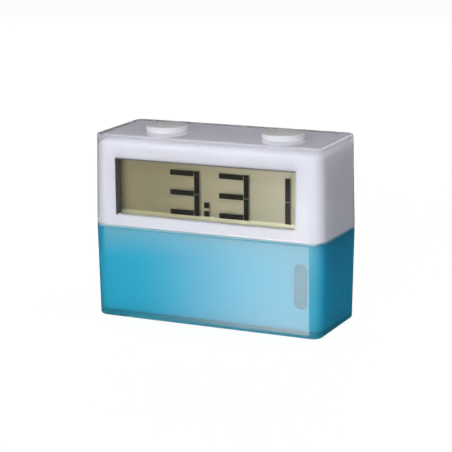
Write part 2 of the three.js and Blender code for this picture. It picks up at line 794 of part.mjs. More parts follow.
const head = new THREE.Group();
head.position.z = headRise;
piece(head, "head_cover", materials.clearWhite, headCover());
piece(head, "head_housing", materials.housing, headHousing());
piece(head, "display_lens", materials.clearPane, displayLens());
piece(head, "lcd_front_glass", materials.clearPane, pane(frontGlassFront, glassThickness, boardTop));
piece(head, "lcd_rear_glass", materials.clearPane, pane(rearGlassFront, glassThickness, rearGlassTop));
piece(head, "lcd_reflector", materials.reflector, pane(reflectorFront, reflectorThickness, rearGlassTop));
piece(head, "lcd_frame", materials.darkPlastic, displayFrame());
piece(head, "zebra_strip", materials.rubber, zebraStrip());
piece(head, "circuit_board", materials.board, circuitBoard());
piece(head, "clock_chip", materials.darkPlastic, clockChip());
piece(head, "quartz_crystal", materials.steel, lyingCan(crystal));
piece(head, "reserve_capacitor", materials.darkPlastic, lyingCan(capacitor));
piece(head, "key_board", materials.board, keyBoard());
piece(head, "key_ribbon", materials.ribbon, keyRibbon());
piece(head, "head_base", materials.housing, headBase());
piece(head, "tank_seal", materials.rubber, tankSeal());
piece(head, "zinc_plate_left", materials.zinc, electrode(-outerPlateX));
piece(head, "copper_plate_left", materials.copper, electrode(-innerPlateX));
piece(head, "zinc_plate_right", materials.zinc, electrode(innerPlateX));
piece(head, "copper_plate_right", materials.copper, electrode(outerPlateX));
piece(head, "cell_link", materials.copper, cellLink());
piece(head, "positive_lead", materials.redWire, lead(1));
piece(head, "negative_lead", materials.blackWire, lead(-1));

towers.forEach(({ x, y }, i) => {
  const mesh = piece(head, `base_screw_${i + 1}`, materials.steel, screw(baseScrew));
  mesh.position.set(x, y, baseScrewSeat);
});
boardScrews.forEach(({ x, z }, i) => {
  const mesh = piece(head, `board_screw_${i + 1}`, materials.steel, screw(boardScrew));
  mesh.rotation.x = Math.PI / 2;
  mesh.position.set(x, boardRear + seatGap, z);
});

for (const [side, word] of [[-1, "left"], [1, "right"]]) {
  const keyScrewMesh = piece(head, `key_board_screw_${word}`, materials.steel, screw(keyScrew));
  keyScrewMesh.position.set(side * postX, 0, keyBoardFoot - seatGap);
  const station = new THREE.Group();
  station.position.x = side * buttonX;
  head.add(station);
  piece(station, `${word}_switch`, materials.darkPlastic, keySwitch());
  piece(station, `${word}_button_spring`, materials.steel, buttonSpring());
  piece(station, `${word}_button`, materials.button, button());
}

const waterClock = new THREE.Group();
waterClock.add(tank, head);

export default waterClock;
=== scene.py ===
import math

import bpy
import numpy as np
from mathutils import Matrix, Vector


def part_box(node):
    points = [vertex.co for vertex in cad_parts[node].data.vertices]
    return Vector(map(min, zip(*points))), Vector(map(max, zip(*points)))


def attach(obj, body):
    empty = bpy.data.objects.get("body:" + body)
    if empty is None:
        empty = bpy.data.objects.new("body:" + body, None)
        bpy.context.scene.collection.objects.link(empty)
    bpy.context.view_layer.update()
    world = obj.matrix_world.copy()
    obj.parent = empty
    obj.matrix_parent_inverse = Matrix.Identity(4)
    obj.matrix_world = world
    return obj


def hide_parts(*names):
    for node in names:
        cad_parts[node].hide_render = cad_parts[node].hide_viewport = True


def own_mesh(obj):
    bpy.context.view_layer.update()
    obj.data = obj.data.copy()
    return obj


# Water clock: a white clock head in a clear cover, standing on a blue water tank in a clear shell.
# Sizes are in millimetres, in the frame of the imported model: +Z up, the front faces -Y.

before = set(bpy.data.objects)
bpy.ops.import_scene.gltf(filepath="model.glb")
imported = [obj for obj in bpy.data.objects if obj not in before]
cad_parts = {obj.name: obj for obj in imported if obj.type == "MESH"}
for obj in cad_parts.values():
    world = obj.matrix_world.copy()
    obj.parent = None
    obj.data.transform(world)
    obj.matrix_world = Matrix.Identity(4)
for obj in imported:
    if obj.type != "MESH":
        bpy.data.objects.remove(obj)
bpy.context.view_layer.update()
scene = bpy.context.scene
mm = 0.001


def boxOf(node):
    low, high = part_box(node)
    return np.array(low) / mm, np.array(high) / mm


tankHigh = boxOf("tank_shell")[1]
coverLow, coverHigh = boxOf("head_cover")
linerLow, linerHigh = boxOf("tank_liner")
sightLow, sightHigh = boxOf("level_window")
housingLow, housingHigh = boxOf("head_housing")
print("frame loaded:", len(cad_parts), "nodes")


# A share that grows from 0 at the start to 1 at the end, and no further
def ramp(value, start, end):
    return np.clip((value - start) / (end - start), 0, 1)


# The value at a share of a span
def within(span, share):
    return span[0] + (span[1] - span[0]) * share


# Meshes

case = {
    "sideDraft": 1.0,  # each side leans in by this much, away from the split
    "faceDraft": 0.35,  # front and back lean in by this much
    "corner": 4.7,  # at the split; it shrinks with the draft
    "innerCorner": 1.2,  # least corner radius of the inner walls
    "bondCorner": 0.6,  # rounder by this much where the clear and the coloured mouldings meet
    "steps": 12,  # in each corner
    "hold": 0.4,  # from the end of a corner to the next point on the straight
    "shortHold": 0.01,  # the same for small openings
}


def tankLean(z):
    return (tankHigh[2] - z) / tankHigh[2]


def headLean(z):
    return (z - coverLow[2]) / (coverHigh[2] - coverLow[2])


# Rounded rectangles, one a row: each corner is a quarter circle about its own centre, and a point
# on the straight before and after it keeps the flat sides flat. Anticlockwise from +X.
def roundedRings(halfA, halfB, radius, steps, hold):
    share = np.linspace(0, 1, steps + 1)
    turn = np.concatenate([[0], share, [1]])
    lead = np.concatenate([[-1], 0 * share, [1]]) * hold
    angle = (np.arange(4)[:, None] + turn) * (math.pi / 2)
    signA = np.array([1, -1, -1, 1])[:, None]
    signB = np.array([1, 1, -1, -1])[:, None]
    halfA, halfB, radius = (np.atleast_1d(v)[:, None, None] for v in (halfA, halfB, radius))
    a = signA * (halfA - radius) + radius * np.cos(angle) - lead * np.sin(angle)
    b = signB * (halfB - radius) + radius * np.sin(angle) + lead * np.cos(angle)
    return np.stack([a, b], -1).reshape(len(halfA), -1, 2)


# Lifts each ring of (x, y) points to its height
def raised(rings, z):
    heights = np.broadcast_to(z[:, None, None], rings.shape[:2] + (1,))
    return np.concatenate([rings, heights], -1)


# The case's outline at each point (inset, z) of a profile: drafted with the height, drawn in by
# the inset. One half of the profile is the bonded face, with its rounder corners.
def caseRings(profile, lean, bonded):
    inset, z = profile.T
    drawn = case["sideDraft"] * lean(z)
    halfX = tankHigh[0] - drawn - inset
    halfY = tankHigh[1] - case["faceDraft"] * lean(z) - inset
    rounder = np.zeros(len(z))
    rounder[bonded] = case["bondCorner"]
    radius = np.maximum(case["corner"] - drawn - inset + rounder, case["innerCorner"])
    return raised(roundedRings(halfX, halfY, radius, case["steps"], case["hold"]), z)


def firstHalf(profile):
    return slice(0, len(profile) // 2)


def lastHalf(profile):
    return slice(len(profile) // 2, len(profile))


# Circles about an upright axis, one for each point (radius, z) of a profile
def turnedRings(profile, centre, sides):
    angle = np.arange(sides) * (2 * math.pi / sides)
    radius, z = (v[:, None] for v in profile.T)
    x = centre[0] + radius * np.cos(angle)
    y = centre[1] + radius * np.sin(angle)
    return np.stack([x, y, np.broadcast_to(z, x.shape)], -1)


# A stretch of a profile on a circle about a centre, between two angles in degrees
def bend(centre, radius, start, end, steps):
    angle = np.radians(np.linspace(start, end, steps + 1))
    return np.column_stack([np.cos(angle), np.sin(angle)]) * radius + centre


def profileOf(*stretches):
    return np.concatenate([np.atleast_2d(np.array(s, float)) for s in stretches])


# Quads between neighbouring rings; a loop of rings also joins the last to the first
def ringFaces(rows, columns, loop=False):
    here = np.arange(columns)
    there = (here + 1) % columns
    row = np.arange(rows if loop else rows - 1)[:, None] * columns
    above = (row + columns) % (rows * columns)
    quads = np.stack([row + here, row + there, above + there, above + here], -1)
    return quads.reshape(-1, 4).tolist()


# A closed body: the rings in order, with a lid on the first and on the last
def lidded(rings):
    rows, columns = rings.shape[:2]
    last = (rows - 1) * columns
    faces = ringFaces(rows, columns)
    faces.append(list(range(columns))[::-1])
    faces.append(list(range(last, last + columns)))
    return meshOf(rings.reshape(-1, 3), faces)


# A closed ring: the rings in order, and the last joined to the first
def looped(rings):
    return meshOf(rings.reshape(-1, 3), ringFaces(*rings.shape[:2], loop=True))


def shaded(mesh, crease=32):
    mesh.shade_smooth()
    mesh.set_sharp_from_angle(angle=math.radians(crease))
    return mesh


def meshOf(points, faces, name="surface"):
    mesh = bpy.data.meshes.new(name)
    mesh.from_pydata((points * mm).tolist(), [], faces)
    mesh.update()
    return shaded(mesh)


# An outline of (x, z) points carried from the front to the rear
def uprightPrism(outline, front, rear):
    return lidded(np.stack([np.insert(outline, 1, y, axis=1) for y in (rear, front)]))


# The outline of an upright oblong, from its lower left to its upper right
def oblong(low, high, radius, steps=6):
    half = (np.array(high) - low) / 2
    middle = (np.array(high) + low) / 2
    return roundedRings(half[0], half[1], radius, steps, case["shortHold"])[0] + middle


def boxMesh(low, high):
    (x0, y0, z0), (x1, y1, z1) = low, high
    corners = [(x0, y0), (x1, y0), (x1, y1), (x0, y1)]
    return lidded(np.stack([np.insert(np.array(corners), 2, z, axis=1) for z in (z0, z1)]))


def rodMesh(centre, radius, low, high, sides):
    profile = np.array([[radius, low], [radius, high]])
    return lidded(turnedRings(profile, centre, sides))


def newObject(name, data):
    thing = bpy.data.objects.new(name, data)
    scene.collection.objects.link(thing)
    return thing


# Joins tools to a mesh, or cuts them out of it, and keeps only the result
def carved(mesh, tools, operation="DIFFERENCE"):
    body = newObject("carved", mesh)
    others = [newObject("tool", tool) for tool in tools]
    for other in others:
        step = body.modifiers.new("step", "BOOLEAN")
        step.operation = operation
        step.object = other
        step.solver = "EXACT"
    bpy.context.view_layer.update()
    finished = body.evaluated_get(bpy.context.evaluated_depsgraph_get())
    result = bpy.data.meshes.new_from_object(finished)
    for thing in [body, *others]:
        bpy.data.objects.remove(thing)
    return shaded(result)


def addPiece(name, mesh, material, body, replaced=()):
    piece = newObject(name, mesh)
    mesh.name = name
    mesh.materials.clear()
    mesh.materials.append(bpy.data.materials[material])
    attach(piece, body)
    if replaced:
        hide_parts(*replaced)
    return piece


def softenEdges(piece, width, segments=3, angle=50):
    edge = piece.modifiers.new("edge", "BEVEL")
    edge.width = width * mm
    edge.segments = segments
    edge.limit_method = "ANGLE"
    edge.angle_limit = math.radians(angle)
    edge.harden_normals = True


# Node helpers

def addNode(tree, kind, inputs=None, **settings):
    node = tree.nodes.new("ShaderNode" + kind)
    for key, value in settings.items():
        setattr(node, key, value)
    for key, value in (inputs or {}).items():
        node.inputs[key].default_value = value
    return node


def wire(source, output, target, socket):
    source.id_data.links.new(source.outputs[output], target.inputs[socket])


# A group of shader nodes; of its outputs, Normal is a vector and the others are values
def newGroup(name, inputs, outputs):
    group = bpy.data.node_groups.new(name, "ShaderNodeTree")
    for label, value in inputs.items():
        socket = group.interface.new_socket(label, in_out="INPUT", socket_type="NodeSocketFloat")
        socket.default_value = value
    for label in outputs:
        kind = "NodeSocketVector" if label == "Normal" else "NodeSocketFloat"
        group.interface.new_socket(label, in_out="OUTPUT", socket_type=kind)
    return group, group.nodes.new("NodeGroupInput"), group.nodes.new("NodeGroupOutput")


# A texture laid on a piece, whose scale is an input of its group
def laid(given, scale, place, kind, inputs):
    group = given.id_data
    texture = addNode(group, kind, inputs)
    group.links.new(place, texture.inputs["Vector"])
    wire(given, scale, texture, "Scale")
    return texture


# Moulded plastic: a slow drift of tone, patches of gloss and a fine skin from the tool
def makeMouldGrain():
    group, given, made = newGroup(
        "mouldGrain",
        {"Drift Scale": 40, "Grain Scale": 1600, "Grain Depth": 0.05},
        ["Tone", "Gloss", "Normal"],
    )
    place = addNode(group, "TexCoord").outputs["Object"]
    drift = laid(given, "Drift Scale", place, "TexNoise", {"Detail": 3, "Roughness": 0.55})
    grain = laid(given, "Grain Scale", place, "TexNoise", {"Detail": 4, "Roughness": 0.6})
    tone = addNode(group, "MapRange", {"From Min": 0.3, "From Max": 0.7})
    gloss = addNode(group, "Math", {1: 0.35}, operation="MULTIPLY_ADD")
    bump = addNode(group, "Bump", {"Distance": 0.0002})
    wire(drift, "Fac", tone, "Value")
    wire(grain, "Fac", gloss, 0)
    wire(drift, "Fac", gloss, 2)
    wire(grain, "Fac", bump, "Height")
    wire(given, "Grain Depth", bump, "Strength")
    wire(tone, "Result", made, "Tone")
    wire(gloss, "Value", made, "Gloss")
    wire(bump, "Normal", made, "Normal")
    return group


# A polished face: cloudy smudges from handling and a slow moulded ripple
def makeHandMarks():
    group, given, made = newGroup(
        "handMarks",
        {"Smudge Scale": 55, "Ripple Scale": 90, "Ripple Depth": 0.05},
        ["Smudge", "Normal"],
    )
    place = addNode(group, "TexCoord").outputs["Object"]
    cloudy = {"Detail": 5, "Roughness": 0.65, "Distortion": 0.8}
    cloud = laid(given, "Smudge Scale", place, "TexNoise", cloudy)
    ripple = laid(given, "Ripple Scale", place, "TexNoise", {"Detail": 1})
    smudge = addNode(group, "MapRange", {"From Min": 0.48, "From Max": 0.75})
    bump = addNode(group, "Bump", {"Distance": 0.0004})
    wire(cloud, "Fac", smudge, "Value")
    wire(ripple, "Fac", bump, "Height")
    wire(given, "Ripple Depth", bump, "Strength")
    wire(smudge, "Result", made, "Smudge")
    wire(bump, "Normal", made, "Normal")
    return group


# Rolled sheet: streaks along the rolling direction, crystal patches and blotches of tarnish
def makeRolledSheet():
    group, given, made = newGroup(
        "rolledSheet",
        {"Streak Scale": 500, "Patch Scale": 220, "Stain Scale": 60, "Streak Depth": 0.12},
        ["Streak", "Patch", "Stain", "Normal"],
    )
    place = addNode(group, "TexCoord").outputs["Object"]
    stretched = addNode(group, "Mapping", {"Scale": (1, 0.03, 1)})
    group.links.new(place, stretched.inputs["Vector"])
    drawn = stretched.outputs["Vector"]
    streak = laid(given, "Streak Scale", drawn, "TexNoise", {"Detail": 4, "Roughness": 0.7})
    patch = laid(given, "Patch Scale", place, "TexVoronoi", {"Randomness": 1})
    blotched = {"Detail": 6, "Roughness": 0.6, "Distortion": 0.5}
    stain = laid(given, "Stain Scale", place, "TexNoise", blotched)
    bright = addNode(group, "SeparateColor")
    blotch = addNode(group, "MapRange", {"From Min": 0.45, "From Max": 0.7})
    bump = addNode(group, "Bump", {"Distance": 0.0002})
    wire(patch, "Color", bright, "Color")
    wire(stain, "Fac", blotch, "Value")
    wire(streak, "Fac", bump, "Height")
    wire(given, "Streak Depth", bump, "Strength")
    wire(streak, "Fac", made, "Streak")
    wire(bright, "Red", made, "Patch")
    wire(blotch, "Result", made, "Stain")
    wire(bump, "Normal", made, "Normal")
    return group


mouldGrain = makeMouldGrain()
handMarks = makeHandMarks()
rolledSheet = makeRolledSheet()


def useGroup(tree, group, values=None):
    return addNode(tree, "Group", values, node_tree=group)


def bareTree(owner, output):
    owner.use_nodes = True
    owner.node_tree.nodes.clear()
    return owner.node_tree, addNode(owner.node_tree, output)


def bareMaterial(name):
    material = bpy.data.materials.new(name)
    return material, *bareTree(material, "OutputMaterial")


def newMaterial(name, inputs=None):
    tree, output = bareMaterial(name)[1:]
    shader = addNode(tree, "BsdfPrincipled", inputs, subsurface_method="BURLEY")
    wire(shader, "BSDF", output, "Surface")
    return tree, shader


mixFirst, mixSecond, mixResult = 6, 7, 2  # the sockets of a Mix node that carry colours


# A colour between two, by a mask: each is a colour or a node that mixes one
def blend(source, mask, first, second):
    mix = addNode(source.id_data, "Mix", data_type="RGBA")
    wire(source, mask, mix, 0)
    for colour, socket in ((first, mixFirst), (second, mixSecond)):
        if isinstance(colour, tuple):
            mix.inputs[socket].default_value = (*colour, 1)
        else:
            wire(colour, mixResult, mix, socket)
    return mix


# A value between two, by a mask
def spread(source, mask, low, high, target, socket):
    node = addNode(source.id_data, "MapRange", {"To Min": low, "To Max": high})
    wire(source, mask, node, "Value")
    wire(node, "Result", target, socket)


# The place on a piece, in metres along X, Y and Z
def placeOn(tree):
    place = addNode(tree, "TexCoord")
    split = addNode(tree, "SeparateXYZ")
    wire(place, "Object", split, "Vector")
    return split


# Materials

def mouldedPlastic(name, light, dark, rough, grain=None, inputs=None):
    tree, shader = newMaterial(name, inputs)
    skin = useGroup(tree, mouldGrain, grain)
    wire(blend(skin, "Tone", dark, light), mixResult, shader, "Base Color")
    spread(skin, "Gloss", *rough, shader, "Roughness")
    wire(skin, "Normal", shader, "Normal")


ends = {"From Min": 0.0444, "From Max": 0.0462}  # metres from the middle of the tank, where the painted shade of the sides sets in


# Painted shade: at its two ends, which face away from the light, a moulding's colour turns to a
# deeper, darker one
def paintShadeAtEnds(name, colour):
    tree = bpy.data.materials[name].node_tree
    shader = tree.nodes["Principled BSDF"]
    skin = shader.inputs["Base Color"].links[0].from_node
    away = addNode(tree, "Math", operation="ABSOLUTE")
    share = addNode(tree, "MapRange", ends)
    wire(placeOn(tree), "X", away, 0)
    wire(away, "Value", share, "Value")
    wire(blend(share, "Result", skin, colour), mixResult, shader, "Base Color")


# Clear plastic that lamps shine through. Where given, upright streaks run between two colours.
def clearPlastic(name, inputs, passed, streaks=None, rough=(0.012, 0.05), ripple=0.006):
    tree, shader = newMaterial(name, {"Transmission Weight": 1, **inputs})
    marks = useGroup(tree, handMarks, {"Ripple Depth": ripple})
    spread(marks, "Smudge", *rough, shader, "Roughness")
    wire(marks, "Normal", shader, "Normal")
    path = addNode(tree, "LightPath")
    through = addNode(tree, "BsdfTransparent", {"Color": (*passed, 1)})
    either = addNode(tree, "MixShader")
    wire(path, "Is Shadow Ray", either, 0)
    wire(shader, "BSDF", either, 1)
    wire(through, "BSDF", either, 2)
    wire(either, "Shader", tree.nodes["Material Output"], "Surface")
    if streaks:
        place = addNode(tree, "TexCoord")
        drawn = addNode(tree, "Mapping", {"Scale": (1, 1, 0.05)})
        noise = addNode(tree, "TexNoise", {"Scale": 520, "Detail": 1.5})
        sharper = addNode(tree, "MapRange", {"From Min": 0.36, "From Max": 0.64})
        wire(place, "Object", drawn, "Vector")
        wire(drawn, "Vector", noise, "Vector")
        wire(noise, "Fac", sharper, "Value")
        wire(blend(sharper, "Result", *streaks), mixResult, shader, "Base Color")


def sheetMetal(name, light, dark, stained, rough):
    tree, shader = newMaterial(name, {"Metallic": 1})
    sheet = useGroup(tree, rolledSheet)
    clean = blend(sheet, "Patch", dark, light)
    wire(blend(sheet, "Stain", clean, stained), mixResult, shader, "Base Color")
    spread(sheet, "Streak", *rough, shader, "Roughness")
    wire(sheet, "Normal", shader, "Normal")


acrylic = {"IOR": 1.49}
clearPlastic(
    "coverClear",
    {**acrylic, "Base Color": (0.93, 0.93, 0.97, 1), "Transmission Weight": 0.85},
    (1, 1, 1),
)
clearPlastic(
    "shellClear",
    {**acrylic, "Base Color": (0.12, 0.62, 0.78, 1), "Transmission Weight": 0.75},
    (0.9, 0.95, 0.95),
    ripple=0.0001,
)
clearPlastic(
    "paneClear", {**acrylic, "Base Color": (0.99, 1, 0.98, 1)}, (0.93, 0.93, 0.92),
)
clearPlastic(
    "displayGlass",
    {"Base Color": (0.98, 0.99, 0.96, 1), "IOR": 1.08},
    (0.97, 0.97, 0.95),
    rough=(0.0, 0.01),
)
clearPlastic(
    "sightFrost",
    {**acrylic, "Transmission Weight": 0.6},
    (0.85, 0.87, 0.9),
    streaks=((0.2, 0.26, 0.36), (0.5, 0.31, 0.32)),
    rough=(0.25, 0.4),
)
translucent = {"Subsurface Weight": 1, "Subsurface Radius": (1, 1, 1), "Subsurface Scale": 0.006}
waterClear = {**translucent, "Subsurface Radius": (0.3, 1, 1), "Subsurface Scale": 0.025}
plastics = {  # light and dark tone, span of roughness, and where needed its own grain and shading
    "housingWhite": (
        (0.755, 0.765, 0.82), (0.735, 0.745, 0.8), (0.28, 0.4), None, translucent,
    ),
    "buttonWhite": ((0.94, 0.945, 0.99), (0.92, 0.925, 0.97), (0.2, 0.32)),
    "tankBlue": (
        (0.032, 0.535, 0.695), (0.03, 0.525, 0.68), (0.3, 0.42), {"Grain Depth": 0.001}, waterClear,
    ),
    "darkPlastic": ((0.022, 0.022, 0.024), (0.014, 0.014, 0.016), (0.4, 0.6)),
    "canSleeve": ((0.014, 0.022, 0.05), (0.01, 0.016, 0.036), (0.25, 0.4)),
    "rubberGrey": (
        (0.03, 0.032, 0.035), (0.018, 0.019, 0.021), (0.55, 0.8), {"Grain Depth": 0.2},
    ),
    "ribbonFlat": ((0.62, 0.57, 0.44), (0.55, 0.5, 0.38), (0.4, 0.55)),
    "wireRed": ((0.4, 0.016, 0.012), (0.34, 0.012, 0.01), (0.35, 0.5)),
    "wireBlack": ((0.01, 0.01, 0.011), (0.006, 0.006, 0.007), (0.35, 0.5)),
    "boardGreen": ((0.02, 0.115, 0.042), (0.012, 0.075, 0.028), (0.3, 0.5)),
    # painted highlight: a pale ring for the bright line that light makes along the split
    "rimPale": ((0.42, 0.72, 0.82), (0.4, 0.7, 0.8), (0.2, 0.3), {"Grain Depth": 0.02}),
    "sightEdge": ((0.004, 0.03, 0.08), (0.003, 0.024, 0.07), (0.3, 0.45)),
    # painted shade: dark grey strips in the display recess, where its walls are in shade
    "liningDark": ((0.13, 0.13, 0.135), (0.09, 0.09, 0.095), (0.45, 0.6), {"Drift Scale": 300}),
    "segmentInk": (
        (0.01, 0.01, 0.008), (0.007, 0.007, 0.005), (0.5, 0.6), None, {"Specular IOR Level": 0},
    ),
}
for name, values in plastics.items():
    mouldedPlastic(name, *values)
# painted shade on the tank's sides and on the ends of the rim ring
paintShadeAtEnds("tankBlue", (0.012, 0.42, 0.735))
paintShadeAtEnds("rimPale", (0.02, 0.24, 0.34))

metals = {  # light, dark and stained tone, and span of roughness
    "platedSteel": ((0.62, 0.63, 0.65), (0.5, 0.51, 0.53), (0.4, 0.39, 0.37), (0.22, 0.42)),
    "zincSheet": ((0.46, 0.49, 0.53), (0.33, 0.36, 0.4), (0.24, 0.25, 0.26), (0.3, 0.55)),
    "copperSheet": ((0.71, 0.32, 0.16), (0.6, 0.25, 0.12), (0.3, 0.12, 0.07), (0.25, 0.5)),
}
for name, values in metals.items():
    sheetMetal(name, *values)

film = {
    "metal": 0.6,
    "rough": (0.38, 0.5),
    "skin": {"Drift Scale": 130, "Grain Depth": 0.02},
    # painted shade on the left and painted light on the right, as light and view fall on the
    # display
    "left": (0.27, 0.232, 0.163),
    "right": (0.465, 0.43, 0.38),
    "across": {"From Min": -0.02, "From Max": 0.033},  # metres from the middle
    # painted light: the pale band along the foot stands for the lit sill below the display
    "litFootLeft": (0.62, 0.58, 0.42),
    "litFootRight": (0.95, 0.92, 0.8),
    "foot": {"From Min": 0.04195, "From Max": 0.0412},  # metres from the floor, where the painted light of the pale band fades in
    "green": (0.95, 1, 0.95),
    "pink": (1.05, 0.98, 0.97),
}


# The display's film: olive with painted shade on the left and paler with painted light on the
# right, with faint green and pink patches and a pale band of painted light along its foot
def makeFilm():
    tree, shader = newMaterial("reflectorFilm", {"Metallic": film["metal"]})
    skin = useGroup(tree, mouldGrain, film["skin"])
    split = placeOn(tree)
    across = addNode(tree, "MapRange", film["across"])
    down = addNode(tree, "MapRange", film["foot"])
    wire(split, "X", across, "Value")
    wire(split, "Z", down, "Value")
    olive = blend(across, "Result", film["left"], film["right"])
    pale = blend(across, "Result", film["litFootLeft"], film["litFootRight"])
    shade = blend(down, "Result", olive, pale)
    patches = blend(skin, "Tone", film["green"], film["pink"])
    both = addNode(tree, "Mix", {0: 1}, data_type="RGBA", blend_type="MULTIPLY")
    wire(shade, mixResult, both, mixFirst)
    wire(patches, mixResult, both, mixSecond)
    wire(both, mixResult, shader, "Base Color")
    spread(skin, "Gloss", *film["rough"], shader, "Roughness")
    wire(skin, "Normal", shader, "Normal")


makeFilm()
print("materials made")

# Tank

tank = {
    "wall": 1.6,
    "floor": 2.5,
    "footRadius": 1.2,
    "rim": 0.25,
    "bareRim": 0.02,  # the shell's own edge, under its pale ring of painted highlight
    "floorRadius": 1.3,
    "linerFloorRadius": 0.8,
    "rimHeight": 0.35,
    "bond": 0.02,  # the liner is moulded into the clear shell, so no air shows between them
    "linerWall": 1.2,
    "linerEdge": 0.2,  # its edges are softened by this much
    "divider": 1.6,
    "dividerTop": 30.4,
    "slotGap": 0.1,
    "slotWidth": 4.8,
    "slotLow": 11.05,
    "slotHigh": 28.05,
    "slotRound": 0.98,  # radius of its ends, as a share of half its width
    "slotSteps": 12,
    "ringIn": 0.45,  # width of the window's dark edge
    "ringFront": 0.28,  # it reaches this far before and behind the window's face
}


# A tub's profile: out along the underside, round the foot, up outside, over the rim and down inside
def tubProfile(out, wall, foot, floor, top, footRadius, rim, floorRadius, steps=6):
    hold = case["hold"]
    inner = out + wall
    return profileOf(
        (out + footRadius + hold, foot),
        bend((out + footRadius, foot + footRadius), footRadius, 270, 180, steps),
        (out, foot + footRadius + hold),
        (out, top - rim - hold),
        bend((out + rim, top - rim), rim, 180, 90, 4),
        bend((inner - rim, top - rim), rim, 90, 0, 4),
        (inner, top - rim - hold),
        (inner, floor + floorRadius + hold),
        bend((inner + floorRadius, floor + floorRadius), floorRadius, 180, 270, steps),
        (inner + floorRadius + hold, floor),
    )


def makeTankShell():
    profile = tubProfile(
        0, tank["wall"], 0, tank["floor"], tankHigh[2] - tank["rimHeight"],
        tank["footRadius"], tank["bareRim"], tank["floorRadius"],
    )
    mesh = lidded(caseRings(profile, tankLean, lastHalf(profile)))
    addPiece("tank_shell_moulding", mesh, "shellClear", "tank", ["tank_shell"])


# The shell's rim: a low closed ring on the wall, coloured pale as a painted highlight of the bright
# line along the split
def makeTankRim():
    rim, inner, top = tank["rim"], tank["wall"], tankHigh[2]
    foot = top - tank["rimHeight"]
    profile = profileOf(
        (0, foot),
        bend((rim, top - rim), rim, 180, 90, 4),
        bend((inner - rim, top - rim), rim, 90, 0, 4),
        (inner, foot),
    )
    mesh = looped(caseRings(profile, tankLean, lastHalf(profile)))
    addPiece("tank_rim_ring", mesh, "rimPale", "tank")


# The outline of the level window, grown by a gap
def sightOutline(gap):
    middle = (sightLow[0] + sightHigh[0]) / 2
    half = tank["slotWidth"] / 2 + gap
    low = (middle - half, tank["slotLow"] - gap)
    high = (middle + half, tank["slotHigh"] + gap)
    return oblong(low, high, half * tank["slotRound"], tank["slotSteps"])


def makeTankLiner():
    out = tank["wall"] - tank["bond"]
    foot = tank["floor"] - tank["bond"]
    floor = linerLow[2] + tank["linerWall"]
    linerWall = tank["linerWall"] + tankHigh[1] - tank["wall"] - linerHigh[1]
    profile = tubProfile(
        out, linerWall, foot, floor, linerHigh[2],
        tank["floorRadius"], tank["rim"], tank["linerFloorRadius"],
    )
    tub = lidded(caseRings(profile, tankLean, firstHalf(profile)))
    half = tank["divider"] / 2
    wallMiddle = linerHigh[1] - tank["linerWall"] / 2 - case["faceDraft"]
    divider = boxMesh((-half, -wallMiddle, floor - half), (half, wallMiddle, tank["dividerTop"]))
    slot = uprightPrism(sightOutline(tank["slotGap"]), -tankHigh[1], -tankHigh[1] / 2)
    mesh = carved(carved(tub, [divider], "UNION"), [slot])
    piece = addPiece("tank_liner_moulding", mesh, "tankBlue", "tank", ["tank_liner"])
    softenEdges(piece, tank["linerEdge"])


# The edge of the level window: a flat ring between its outline and the same outline drawn in
def makeSightRing():
    outer, inner = sightOutline(0), sightOutline(-tank["ringIn"])
    front, rear = sightLow[1] - tank["ringFront"], sightLow[1] + tank["ringFront"]
    sections = [(outer, rear), (outer, front), (inner, front), (inner, rear)]
    mesh = looped(np.stack([np.insert(outline, 1, y, axis=1) for outline, y in sections]))
    addPiece("level_window_edge", mesh, "sightEdge", "tank")


makeTankShell()
makeTankRim()
makeTankLiner()
makeSightRing()
print("tank made")

# Head

head = {
    "coverWall": 1.6,
    "coverRoof": 2.0,
    "rimRadius": 0.65,
    "rim": 0.3,
    "coverEdge": 0.2,  # the cover's other edges are softened by this much
    "fitGap": 0.3,
    "bond": 0.02,  # the housing is moulded into the clear cover, so no air shows between them
    "housingWall": 1.5,
    "housingRoof": 1.6,
    "housingEdge": 2.5,
    "housingInner": 2.35,  # the same edge from inside
    "housingRim": 0.1,
    "housingFoot": 0.05,  # above the foot of the cover
    "housingSoft": 0.15,  # the housing's other edges are softened by this much
    "windowLow": (-37.4, 40.5),  # its lower left
    "windowHigh": (36.85, 62.65),  # and its upper right
    "windowCorner": 0.6,
    "fall": 0.55,
    "fallStart": 64.0,
    "buttonHole": 8.5,
    "coverHole": 8.19,  # the clear cover fits the buttons closely, so their walls show through it
    "holeSpan": (60, 80),
    "holeSides": 96,
    "towerRadius": 2.7,
    "postRadius": 2.4,
    "postSides": 32,
    "seatGap": 0.15,  # from a board to what holds it
    "ribThickness": 1.5,
    "ribIn": 2.0,  # reach inside the board's end
    "ribOut": 1.5,  # and outside it
}


# The head's top falls to the front: above a height the rings sink, in proportion to the height
# over it and to the distance from the back
def settled(rings):
    high = ramp(rings[..., 2], head["fallStart"], coverHigh[2])
    forward = (coverHigh[1] - rings[..., 1]) / (2 * coverHigh[1])
    sunk = rings.copy()
    sunk[..., 2] -= head["fall"] * high * forward
    return sunk


# A cap's profile: that of a tub upside down, from its inside outwards
def capProfile(out, wall, foot, ceiling, top, edge, innerEdge, rim):
    tub = tubProfile(out, wall, -top, -ceiling, -foot, edge, rim, innerEdge, steps=8)
    return tub[::-1] * [1, -1]


def windowTool():
    outline = oblong(head["windowLow"], head["windowHigh"], head["windowCorner"])
    return uprightPrism(outline, -tankHigh[1] * 2, -tankHigh[1] / 2)


buttonPlaces = {side: sum(boxOf(side + "_button"))[:2] / 2 for side in ("left", "right")}


def holeTools(radius):
    places = buttonPlaces.values()
    return [rodMesh(place, radius, *head["holeSpan"], head["holeSides"]) for place in places]


def makeHeadCover():
    ceiling = coverHigh[2] - head["coverRoof"]
    profile = capProfile(
        0, head["coverWall"], coverLow[2], ceiling, coverHigh[2],
        head["rimRadius"], head["housingEdge"] + head["fitGap"], head["rim"],
    )
    cap = lidded(settled(caseRings(profile, headLean, firstHalf(profile))))
    mesh = carved(cap, [windowTool(), *holeTools(head["coverHole"])])
    piece = addPiece(
        "head_cover_moulding", mesh, "coverClear", "head", ["head_cover"],
    )
    softenEdges(piece, head["coverEdge"])


